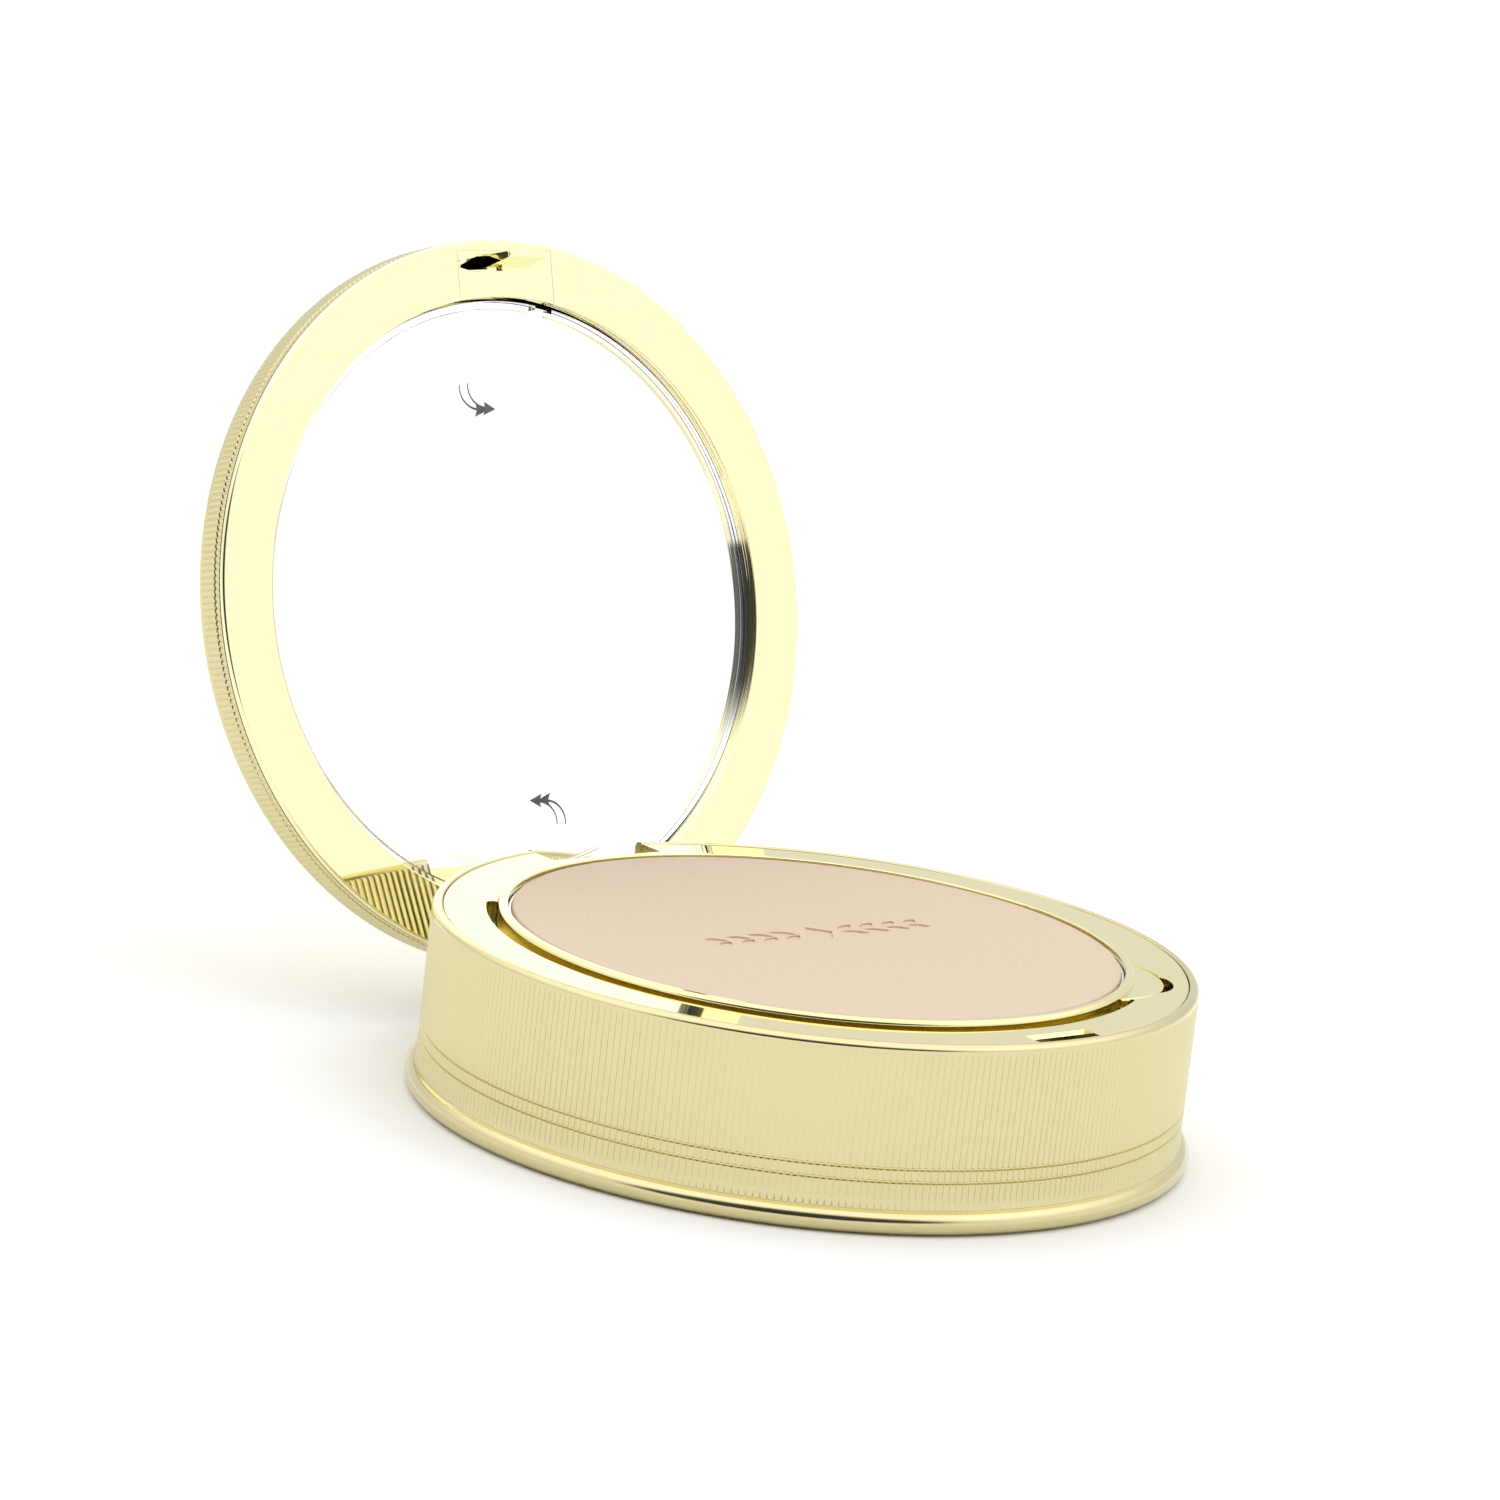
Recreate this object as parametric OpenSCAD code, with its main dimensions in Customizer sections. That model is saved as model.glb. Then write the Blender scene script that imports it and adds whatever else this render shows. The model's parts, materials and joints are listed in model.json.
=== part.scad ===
// Round pressed-powder compact: a ribbed base with a lift-out powder tray over a puff well,
// and a mirrored lid on a rear hinge.
// Frame: the origin is the centre of the base's underside, +Z is up, the latch faces -Y
// and the hinge is at +Y. The lid is drawn shut and then swung back to its open stop.

/* [Overall] */
// Radius of the lid and of the base's rim
rim_r = 37.5; // [37.4:0.1:38.5]
// Height of the base, from its underside to the top of its rim
base_h = 18; // [18:0.1:19]
// Thickness of the lid
lid_h = 5; // [5:0.1:6]
// Gap between the lid's face and the base's rim when shut
shut_gap = 0.25; // [0.2:0.01:0.4]
// Angle from shut to the open stop
open_angle = 106.7; // [95:0.1:110]

/* [Hinge] */
// Distance of the hinge axis behind the centre
hinge_y = 33.6; // [33.5:0.05:33.7]
// Height of the hinge axis
hinge_z = 10.5; // [10.3:0.1:10.6]
// Radius of the hinge pin
pin_r = 0.8; // [0.7:0.05:0.9]
// Radial clearance of the pin in the lid's knuckle
pin_clearance = 0.05; // [0.03:0.01:0.1]
// Width of the lid's knuckle
knuckle_w = 13.4; // [12:0.1:13.4]

/* [Base] */
// Radius of the bead around the foot
bead_r = 38.5; // [38.3:0.1:39]
// Wall thickness of the outer sleeve
sleeve_t = 1.5; // [1.4:0.1:1.6]
// Depth of the deck below the rim
deck_drop = 0.12; // [0.1:0.01:0.2]
// Outer radius of the finger moat
moat_r = 32.25; // [32.1:0.05:32.3]

/* [Tray] */
// Outer radius of the tray's ring
tray_r = 31.1; // [31:0.05:31.1]
// Direction of the finger tab, turned from the latch towards +X
tab_angle = 43.5; // [42:0.5:46]
// Radius that the finger tab reaches
tab_tip_r = 34; // [33.8:0.1:34.1]
// Radius of the pressed powder
powder_r = 29.8; // [29.4:0.1:29.8]
// Depth of the pressed powder
powder_depth = 4.1; // [3.5:0.1:4.2]

/* [Lid] */
// Radius of the opening in the lid's face ring
opening_r = 31.5; // [31.4:0.05:31.6]
// Depth from the lid's face to the mirror
mirror_depth = 2; // [1.9:0.1:2.1]
// Thickness of the mirror
mirror_t = 1.4; // [1.2:0.1:1.5]
// Thickness of the clear mirror guard
guard_t = 0.5; // [0.4:0.05:0.55]
// Width of the latch insert
insert_w = 12.2; // [11:0.1:13]
// Height that the hook stands out of the lid's face
hook_h = 3.7; // [2.5:0.1:3.8]

/* [Puff] */
// Radius of the puff
puff_r = 28.6; // [26:0.1:28.8]
// Thickness of the puff
puff_t = 8.6; // [6:0.1:9]

/* [Hidden] */

$fn = 96;
eps = 0.01;                      // cutter overrun that keeps faces from coinciding

gold = [0.93, 0.84, 0.52];
deep_gold = [0.86, 0.74, 0.38];

// Base
rim_edge = 0.6;                  // rounding of the rim's outer edge
border_w = 1.1;                  // width of the sleeve's border around the deck
sleeve_in_r = rim_r - sleeve_t;
deck_r = rim_r - border_w;       // radius of the deck's recess in the sleeve
deck_z = base_h - deck_drop;
deck_t = 1.2;
ledge_z = deck_z - deck_t;       // the sleeve's ledge under the deck
bead_tube_r = 1.15;
flare_bottom_z = 2 * bead_tube_r + 0.25;
flare_top_z = 4.8;
flare_out = 0.5;                 // how far the flare has spread where it meets the bead
band_groove_z = [6.2, 4.95];     // the two thin grooves around the wall
band_groove_d = 0.12;
slot_w = 14;                     // hinge slot through the rear of the sleeve
slot_bottom_z = 6.5;
lug_w = 2;                       // width of each ear that holds the pin
lug_r = 1.5;
lug_pocket = 0.2;                // clearance of the sleeve around the ears
plate_t = 1.2;
label_t = 0.12;
label_r = 27;

// Moat, tray seat and well
moat_wall = 0.7;
moat_bottom_z = 16.4;
seat_z = 13.2;                   // top of the seat that carries the tray
ledge_t = 0.6;
seat_in_r = 29.5;
moat_start = -130;               // the moat runs from here, past the front, to the tab
moat_end = 31;
tray_fit = 0.15;                 // gap between the tray and the deck where there is no moat
well_r = 30.4;
well_wall = 0.8;
well_floor_z = label_t + plate_t;
skirt_t = 0.75;

// Latch
latch_slot_w = 7.6;
latch_slot_y = 34.4;             // distance of the slot's inner edge in front of the centre
latch_x = 0.95;                  // the insert sits a little to the right of the slot's middle
hook_w = 5;
hook_x = -1.4;                   // left side of the hook
hook_tip_t = 0.8;
hook_root_t = 1.35;
hook_y = 35.9;                   // distance of the hook's outer face in front of the centre

// Tray
seat_gap = 0.05;
tray_z = seat_z + seat_gap;
tray_floor_t = 0.6;
tray_top_z = base_h + 0.5;
tray_wall = 0.95;
tray_in_r = tray_r - tray_wall;
glue_t = 0.1;
pan_t = 0.3;
pan_gap = 0.05;
pan_drop = 0.45;                 // the pan's edge ends below the powder's top
pan_r = tray_in_r - pan_gap;
pan_z = tray_z + tray_floor_t + glue_t;
powder_z = pan_z + pan_t;
tab_r = 9;                       // radius of the tab's rounded end
tab_t = 1;
tab_gap = 0.12;                  // fit of the tab in the deck
finger_r = 4.7;                  // finger room at the tab's tip
finger_y = 30.2;
tab_centre = tab_tip_r - tab_r;
tab_pocket_z = 15.3;
tab_pocket_wall = 0.8;

// Lid, shut
face_z = base_h + shut_gap;
lid_top_z = face_z + lid_h;
ring_t = 0.55;                   // thickness of the lid's face ring
seam = 0.1;                      // fine gap between the face ring and the ribbed shell
lid_edge = 1.4;                  // rounding of the lid's back edge
lid_wall = 1.2;
lid_groove_z = face_z + 1.4;
recess_wall = 0.9;
recess_wall_top = face_z + mirror_depth;
web_z = recess_wall_top + mirror_t + 0.25;     // underside of the shell's flat web
back_disc_r = 32;
back_disc_t = 0.55;
tape_t = 0.25;
leaf_t = 1.6;                    // thickness of the hinge arm
leaf_offset = 0.7;               // the arm's centre lies this far behind the axis
knuckle_r = 1.7;
relief_w = 27;                   // the lid's face is relieved near the hinge
relief_y = 31;
relief_slope = 10;
pad_t = 2;                       // thickening of the face ring around the hinge arm
insert_in_y = 31.9;
insert_out_y = 36.3;
insert_t = 0.5;
insert_fit = 0.05;
guard_notch_w = 2.2;
guard_gap = 0.4;                 // the guard's rim holds it off the mirror
guard_rim = 0.8;
arrow_t = 0.06;
arrow_y = 0.27;                  // the arrows turn about a point this far in front of the centre
guard_face_z = recess_wall_top - guard_gap - guard_t;

// Points of an arc about (cx, cy), from angle a0 to a1, in n steps
function arc(cx, cy, r, a0, a1, n = 8) =
  [for (i = [0:n]) let (a = a0 + (a1 - a0) * i / n) [cx + r * cos(a), cy + r * sin(a)]];

// A V groove in a wall of radius r, read upwards
function v_groove(r, z, d) = [[r, z - d], [r - d, z], [r, z + d]];

// Swings what is drawn shut back to the open stop
module lid_pose() {
  translate([0, hinge_y, hinge_z]) rotate([-open_angle, 0, 0])
    translate([0, -hinge_y, -hinge_z]) children();
}

// Turns what is drawn at the front by an angle towards +X
module from_front(angle) { rotate([0, 0, angle]) children(); }

module disc(r, h, z = 0) { translate([0, 0, z]) cylinder(r = r, h = h); }

module tube(r_out, r_in, h, z = 0) {
  difference() {
    disc(r_out, h, z);
    disc(r_in, h + 2 * eps, z - eps);
  }
}

// A cylinder along X, centred on the hinge axis
module on_axis(r, w, x = 0) {
  translate([x - w / 2, hinge_y, hinge_z]) rotate([0, 90, 0]) cylinder(r = r, h = w);
}

// Wedge taken off the lid's face at the rear, so that it clears the rim as it swings
module hinge_relief() {
  translate([-relief_w / 2, relief_y, face_z]) rotate([relief_slope, 0, 0])
    translate([0, 0, -3]) cube([relief_w, 8, 3]);
}

// ---- Base ----

module base_sleeve() {
  flare_r = rim_r + flare_out;
  outline = concat(
    [[sleeve_in_r, 0], [bead_r - bead_tube_r, 0]],
    arc(bead_r - bead_tube_r, bead_tube_r, bead_tube_r, -80, 75, 12),
    [[flare_r, flare_bottom_z]],
    [for (i = [1:5]) let (t = i / 5)
      [rim_r + flare_out * pow(1 - t, 2), flare_bottom_z + (flare_top_z - flare_bottom_z) * t]],
    v_groove(rim_r, band_groove_z[1], band_groove_d),
    v_groove(rim_r, band_groove_z[0], band_groove_d),
    arc(rim_r - rim_edge, base_h - rim_edge, rim_edge, 0, 90, 6),
    [[deck_r + 0.15, base_h], [deck_r, base_h - 0.15], [deck_r, ledge_z], [sleeve_in_r, ledge_z]]
  );
  color(gold) difference() {
    rotate_extrude($fn = 180) polygon(outline);
    translate([-slot_w / 2, 28, slot_bottom_z]) cube([slot_w, 14, base_h]);
    translate([-slot_w / 2 - lug_w - lug_pocket, 28, hinge_z - lug_r - lug_pocket])
      cube([slot_w + 2 * (lug_w + lug_pocket), hinge_y + lug_r + lug_pocket - 28, ledge_z - hinge_z + 2]);
    // room for the hook below the ledge
    translate([-latch_slot_w / 2, 0.1 - deck_r, seat_z - 1]) cube([latch_slot_w, 2, ledge_z - seat_z + 2]);
  }
}

module bottom_plate() {
  color(deep_gold) disc(sleeve_in_r - 0.03, plate_t, label_t);
}

module bottom_label() {
  color("ivory") disc(label_r, label_t);
}

module deck_frame() {
  wall_r = moat_r + moat_wall;
  floor_z = seat_z - ledge_t;
  skirt_in_r = sleeve_in_r - skirt_t;
  flange_in_r = tray_r + tray_fit;
  outline = [
    [seat_in_r, floor_z], [wall_r, floor_z], [wall_r, ledge_z], [skirt_in_r, ledge_z],
    [skirt_in_r, seat_z], [sleeve_in_r, seat_z], [sleeve_in_r, ledge_z], [deck_r, ledge_z],
    [deck_r, deck_z], [flange_in_r, deck_z], [flange_in_r, seat_z], [seat_in_r, seat_z]
  ];
  color(gold) difference() {
    union() {
      rotate_extrude() polygon(outline);
      for (side = [-1, 1]) {
        on_axis(lug_r, lug_w, side * (slot_w + lug_w) / 2);
        translate([side * (slot_w + lug_w) / 2 - lug_w / 2, hinge_y - lug_r + 0.1, hinge_z])
          cube([lug_w, 2 * lug_r - 0.2, ledge_z - hinge_z + 0.2]);
      }
      // walls and floor of the finger pocket
      from_front(tab_angle) intersection() {
        translate([0, -tab_centre, tab_pocket_z - tab_pocket_wall])
          cylinder(r = tab_r + 1.6, h = deck_z - 0.3 - tab_pocket_z + tab_pocket_wall);
        tube(deck_r - 0.2, moat_r + 0.3, base_h);
      }
    }
    // hinge slot, pin bores, latch slot
    translate([-slot_w / 2, wall_r - 0.25, slot_bottom_z]) cube([slot_w, 8, base_h]);
    on_axis(pin_r, slot_w + 2 * lug_w + 2);
    translate([-latch_slot_w / 2, -40, seat_z - 1]) cube([latch_slot_w, 40 - latch_slot_y, 6]);
    // the moat opens the deck on the front side only
    rotate([0, 0, moat_start - 90]) rotate_extrude(angle = moat_end - moat_start)
      translate([seat_in_r + 1, moat_bottom_z]) square([moat_r - seat_in_r - 1, 6]);
    // close fit around the tab, and the finger room at its tip
    from_front(tab_angle) {
      translate([0, -tab_centre, tab_pocket_z]) cylinder(r = tab_r + tab_gap, h = 6);
      translate([0, -finger_y, tab_pocket_z]) cylinder(r = finger_r, h = 6);
    }
  }
}

module puff_well() {
  top_z = seat_z - ledge_t;
  color(gold) difference() {
    disc(well_r, top_z - well_floor_z, well_floor_z);
    disc(well_r - well_wall, top_z, well_floor_z + well_wall);
  }
}

module hinge_pin() {
  color("silver") on_axis(pin_r, slot_w + 2 * lug_w);
}

// ---- Puff in the well ----

puff_z = well_floor_z + well_wall + 0.1;
puff_mid_z = puff_z + puff_t / 2;
puff_skin = 0.7;
puff_seam = 0.5;

// Half of a crowned pad: its profile from the rim to the crown, at a height above mid_z
module pad_half(r, crown, seam_h) {
  rotate_extrude() polygon(concat(
    [[0, 0], [r, 0], [r, seam_h]],
    arc(r - 3.6, seam_h, 3.6, 20, 75, 6),
    [[r * 0.55, crown - 0.25], [0, crown]]
  ));
}

module puff_core() {
  core_r = puff_r - 1.5;
  crown = puff_t / 2 - puff_skin - 0.15;
  color("white") translate([0, 0, puff_mid_z]) {
    pad_half(core_r, crown, puff_seam);
    mirror([0, 0, 1]) pad_half(core_r, crown, puff_seam);
  }
}

module puff_skin_half() {
  difference() {
    pad_half(puff_r, puff_t / 2, puff_seam);
    translate([0, 0, -eps]) pad_half(puff_r - 1.1, puff_t / 2 - puff_skin, puff_seam + 0.1);
  }
}

module puff_front() {
  color("bisque") translate([0, 0, puff_mid_z]) mirror([0, 0, 1]) puff_skin_half();
}

module puff_back() {
  color("bisque") translate([0, 0, puff_mid_z]) puff_skin_half();
}

module puff_ribbon() {
  ribbon_w = 13;
  ribbon_t = 0.3;
  color("white") translate([0, 0, puff_mid_z + puff_t / 2 + 0.05]) intersection() {
    translate([-puff_r + 5, -ribbon_w / 2, 0]) cube([2 * (puff_r - 5), ribbon_w, ribbon_t]);
    disc(puff_r - 4, ribbon_t);
  }
}

// ---- Tray ----

module tray_frame() {
  outline = concat(
    [[0, tray_z], [tray_r, tray_z]],
    arc(tray_r - 0.45, tray_top_z - 0.45, 0.45, 0, 90, 6),
    [[tray_in_r + 0.1, tray_top_z], [tray_in_r, tray_top_z - 0.1],
     [tray_in_r, tray_z + tray_floor_t], [0, tray_z + tray_floor_t]]
  );
  color(gold) union() {
    rotate_extrude() polygon(outline);
    from_front(tab_angle) difference() {
      translate([0, -tab_centre, deck_z - tab_t]) cylinder(r = tab_r, h = tab_t);
      disc(tray_r - 0.3, base_h, 1);
    }
  }
}

module powder_pan() {
  color("silver") difference() {
    disc(pan_r, powder_depth + pan_t - pan_drop, pan_z);
    disc(powder_r, powder_depth + 1, powder_z);
  }
}

module pan_glue() {
  color("white") disc(20, glue_t, tray_z + tray_floor_t);
}

module pressed_powder() {
  bevel = 0.25;
  top = powder_z + powder_depth;
  color([0.89, 0.81, 0.74]) rotate_extrude() polygon([
    [0, powder_z], [powder_r, powder_z], [powder_r, top - bevel], [powder_r - bevel, top], [0, top]
  ]);
}

// ---- Lid ----

module lid_shell() {
  wall_z = face_z + ring_t + seam;
  outline = concat(
    [[rim_r - lid_wall, wall_z], [rim_r, wall_z]],
    v_groove(rim_r, lid_groove_z, band_groove_d),
    arc(rim_r - lid_edge, lid_top_z - lid_edge, lid_edge, 0, 90, 8),
    [[back_disc_r, lid_top_z], [back_disc_r, lid_top_z - back_disc_t],
     [0, lid_top_z - back_disc_t], [0, web_z], [rim_r - lid_wall, web_z]]
  );
  color(gold) lid_pose() difference() {
    rotate_extrude($fn = 180) polygon(outline);
    hinge_relief();
  }
}

module lid_back_disc() {
  bevel = 0.2;
  color(deep_gold) lid_pose() translate([0, 0, lid_top_z - back_disc_t]) rotate_extrude() polygon([
    [0, 0], [back_disc_r - 0.05, 0], [back_disc_r - 0.05, back_disc_t - bevel],
    [back_disc_r - 0.05 - bevel, back_disc_t], [0, back_disc_t]
  ]);
}

module lid_ring() {
  edge = 0.2;
  outline = [
    [opening_r, face_z + edge / 2], [opening_r + edge / 2, face_z], [rim_r - edge, face_z],
    [rim_r - 0.05, face_z + edge], [rim_r - 0.05, face_z + ring_t],
    [opening_r + recess_wall, face_z + ring_t], [opening_r + recess_wall, recess_wall_top],
    [opening_r, recess_wall_top]
  ];
  pad_w = knuckle_w + 6;
  color(gold) lid_pose() difference() {
    union() {
      rotate_extrude($fn = 180) polygon(outline);
      intersection() {
        tube(rim_r - lid_wall - 0.1, opening_r, pad_t, face_z);
        translate([-pad_w / 2, 28, face_z]) cube([pad_w, 12, pad_t]);
      }
    }
    hinge_relief();
    // opening for the hinge arm
    translate([-knuckle_w / 2 - insert_fit, hinge_y + leaf_offset - leaf_t / 2 - insert_fit, face_z - 1])
      cube([knuckle_w + 2 * insert_fit, leaf_t + 2 * insert_fit, pad_t + 2]);
    // opening for the latch insert
    translate([latch_x - insert_w / 2 - insert_fit, -insert_out_y - insert_fit, face_z - 1])
      cube([insert_w + 2 * insert_fit, insert_out_y - opening_r - recess_wall + 0.1, ring_t + 2]);
  }
}

module hinge_leaf() {
  flange_t = web_z - face_z - pad_t - 0.05;
  flange_w = knuckle_w + 3;
  arm_y = hinge_y + leaf_offset;
  color(deep_gold) lid_pose() difference() {
    union() {
      on_axis(knuckle_r, knuckle_w);
      translate([-knuckle_w / 2, arm_y - leaf_t / 2, hinge_z])
        cube([knuckle_w, leaf_t, face_z + pad_t - hinge_z + eps]);
      intersection() {
        translate([-flange_w / 2, arm_y - 1.8, face_z + pad_t]) cube([flange_w, 3.6, flange_t]);
        tube(rim_r - lid_wall - 0.15, opening_r + recess_wall + 0.1, lid_h, face_z);
      }
    }
    on_axis(pin_r + pin_clearance, knuckle_w + 2);
  }
}

module latch_insert() {
  in_y = opening_r + recess_wall + 0.05;
  color(gold) lid_pose() union() {
    translate([latch_x - insert_w / 2, -insert_out_y, face_z]) cube([insert_w, insert_out_y - in_y, insert_t]);
    // body behind the face, between the recess wall and the shell
    intersection() {
      translate([latch_x - insert_w / 2 + 1, -insert_out_y, face_z + insert_t - eps])
        cube([insert_w - 2, insert_out_y - in_y, web_z - face_z - insert_t - 0.1]);
      tube(rim_r - lid_wall - 0.1, in_y, lid_h, face_z);
    }
    // hook: a blade that thins towards its rounded nose
    translate([hook_x, -hook_y, face_z + insert_t]) rotate([0, 90, 0]) linear_extrude(hook_w)
      polygon([[0, 0], [hook_h + insert_t - 0.25, 0], [hook_h + insert_t, 0.25],
               [hook_h + insert_t, hook_tip_t - 0.15], [hook_h + insert_t - 0.15, hook_tip_t],
               [insert_t, hook_root_t], [0, hook_root_t]]);
  }
}

module mirror_disc() {
  color("lavender") lid_pose() disc(opening_r + recess_wall - 0.1, mirror_t, recess_wall_top);
}

module mirror_tape() {
  color("dimgray") lid_pose() disc(opening_r - 1.5, tape_t, recess_wall_top + mirror_t);
}

module mirror_guard() {
  guard_r = opening_r - 0.3;
  color("aliceblue", 0.4) lid_pose() difference() {
    rotate_extrude() polygon([
      [0, guard_face_z], [guard_r, guard_face_z], [guard_r, recess_wall_top - 0.05],
      [guard_r - guard_rim, recess_wall_top - 0.05], [guard_r - guard_rim, guard_face_z + guard_t],
      [0, guard_face_z + guard_t]
    ]);
    for (turn = [0, 180]) from_front(12 + turn)
      translate([-guard_notch_w / 2, -guard_r - 1, guard_face_z - 1]) cube([guard_notch_w, 1.5, 3]);
  }
}

// One printed arrow: a bent shaft that widens towards a barbed head
module arrow() {
  linear_extrude(arrow_t) {
    polygon([[-4.19, -22.64], [-3.84, -21.7], [-3.25, -21.02], [-2.45, -20.56],
             [-2.5, -20.3], [-3.4, -20.84], [-4.0, -21.6], [-4.27, -22.6]]);
    polygon([[-2.36, -21.08], [-0.84, -20.25], [-2.46, -19.65], [-2.2, -20.4]]);
  }
}

module guard_arrows() {
  color("dimgray") lid_pose() translate([0, arrow_y, guard_face_z - arrow_t])
    for (turn = [0, 180]) rotate([0, 0, turn]) arrow();
}

base_sleeve();
bottom_plate();
bottom_label();
deck_frame();
puff_well();
hinge_pin();
puff_core();
puff_front();
puff_back();
puff_ribbon();
tray_frame();
powder_pan();
pan_glue();
pressed_powder();
lid_shell();
lid_back_disc();
lid_ring();
hinge_leaf();
latch_insert();
mirror_disc();
mirror_tape();
mirror_guard();
guard_arrows();
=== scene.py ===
"""Looks of the round powder compact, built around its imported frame.

Everything is in the frame's own axes: +Z up, the latch at -Y, the hinge at +Y. Outlines are written in
millimetres as (radius, height) pairs and scaled by MM. The lid's pieces are drawn shut and then swung open.
"""
import json
import math

import bmesh
import bpy
import numpy as np
from mathutils import Matrix, Vector
from mathutils.bvhtree import BVHTree


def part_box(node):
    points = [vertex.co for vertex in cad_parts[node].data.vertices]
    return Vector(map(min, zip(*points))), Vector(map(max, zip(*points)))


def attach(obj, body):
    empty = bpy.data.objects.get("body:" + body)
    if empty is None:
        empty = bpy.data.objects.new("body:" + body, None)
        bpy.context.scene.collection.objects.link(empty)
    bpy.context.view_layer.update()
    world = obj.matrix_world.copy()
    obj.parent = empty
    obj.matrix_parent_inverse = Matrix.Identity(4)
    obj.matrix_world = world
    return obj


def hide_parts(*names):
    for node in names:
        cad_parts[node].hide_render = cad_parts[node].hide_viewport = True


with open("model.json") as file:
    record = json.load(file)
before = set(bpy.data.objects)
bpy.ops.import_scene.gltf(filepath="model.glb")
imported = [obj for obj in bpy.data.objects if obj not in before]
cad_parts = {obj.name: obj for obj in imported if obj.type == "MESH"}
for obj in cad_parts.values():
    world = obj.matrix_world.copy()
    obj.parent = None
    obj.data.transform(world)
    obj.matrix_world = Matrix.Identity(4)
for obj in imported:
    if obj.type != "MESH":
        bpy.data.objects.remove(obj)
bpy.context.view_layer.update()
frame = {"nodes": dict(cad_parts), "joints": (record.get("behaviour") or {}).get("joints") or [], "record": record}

MM = 0.001
TAU = 2 * math.pi

# ---- Sizes, in millimetres, from the frame and its parts ----

LID_HINGE = next(j for j in frame["joints"] if j["name"] == "lid_hinge")
HINGE_Y, HINGE_Z = (c / MM for c in LID_HINGE["pos_m"][1:])
OPEN_ANGLE = math.radians(LID_HINGE["range_deg"][1])


def cad_size(node):
    """Lowest and highest corners of a CAD node, in millimetres."""
    low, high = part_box(node)
    return low / MM, high / MM


RIM_R = cad_size("lid_shell")[1].x
BASE_H = cad_size("base_sleeve")[1].z
BEAD_R = cad_size("base_sleeve")[1].x
DECK_R = cad_size("deck_frame")[1].x
DECK_Z = cad_size("deck_frame")[1].z
TRAY_LOW, TRAY_HIGH = cad_size("tray_frame")
POWDER_LOW, POWDER_HIGH = cad_size("pressed_powder")
POWDER_R = POWDER_HIGH.x
PAN_LOW, PAN_HIGH = cad_size("powder_pan")
MIRROR_GUARD_R = cad_size("mirror_guard")[1].x

RIBS = 360                # upright ribs around the wall
RIB_DEPTH = 0.11
STEPS_PER_RIB = 8
SHUT_GAP = 0.25
FACE_Z = BASE_H + SHUT_GAP
LID_H = 5.0
OPENING_R = 31.5
MOAT_R = 32.25
TRAY_R = 31.1
LATCH_X = 0.95            # the latch insert sits a little to the right of the middle
RELIEF_W = 27
TAB_TURN = 43.5           # the finger tab's direction, turned from the latch towards +X
TAB_CENTRE, TAB_R = 25.0, 9.0
BAND_GROOVES = (4.95, 6.2)
LEDGE_Z = DECK_Z - 1.2    # the deck's rim rests here on the sleeve
SLEEVE_IN = RIM_R - 1.5   # inside of the sleeve's wall
SEAT_Z = 13.2             # the tray rests here on the deck frame
SLOT_X, SLOT_FLOOR = 3.8, 12.2        # the latch slot's half width and floor
HINGE_CUT_X, HINGE_CUT_Z = 7, 6.5     # the rear cut's half width and floor
RECESS_TOP = FACE_Z + 2   # the mirror lies here, with the lid shut
MIRROR_T = 1.4
GUARD_FACE_Z = FACE_Z + 1.1
LATCH_HALF = 6.1          # half the insert's width
DISC_R = 32               # the inlaid disc in the lid's back
DISC_T = 0.55
PUFF_SIM_SCALE = 10       # the cloth simulation is worked this much larger
PUFF_VOXEL = 0.006


# ---- Mesh helpers ----

def link(name, mesh):
    obj = bpy.data.objects.new(name, mesh)
    bpy.context.scene.collection.objects.link(obj)
    return obj


def smooth(obj, angle=35):
    """Shades a mesh smooth, with sharp edges where it turns by more than the angle in degrees."""
    mesh = obj.data
    mesh.polygons.foreach_set("use_smooth", [True] * len(mesh.polygons))
    mesh.set_sharp_from_angle(angle=math.radians(angle))
    return obj


def outward(mesh):
    """Turns all faces outwards."""
    bm = bmesh.new()
    bm.from_mesh(mesh)
    bmesh.ops.recalc_face_normals(bm, faces=bm.faces)
    bm.to_mesh(mesh)
    bm.free()


def mesh_object(name, points_mm, faces):
    mesh = bpy.data.meshes.new(name)
    mesh.from_pydata([tuple(c * MM for c in p) for p in points_mm], [], faces)
    mesh.update()
    outward(mesh)
    return link(name, mesh)


def rib_fall(turn):
    """How far a rib's round face has fallen from its crest, 0 to 1, at a share of a full turn."""
    across = (turn * RIBS) % 1.0
    return (2 * across - 1) ** 2


def supported(outline, margin=0.03):
    """Adds a point close to both ends of each long side, which keeps flats flat when shaded smooth."""
    rows = [tuple(row) + (0.0,) * (3 - len(row)) for row in outline]
    made = []
    for a, b in zip(rows, rows[1:] + rows[:1]):
        made.append(a)
        length = math.hypot(b[0] - a[0], b[1] - a[1])
        if length > 6 * margin:
            for share in (margin / length, 1 - margin / length):
                made.append(tuple(p + (q - p) * share for p, q in zip(a, b)))
    return made


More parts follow.
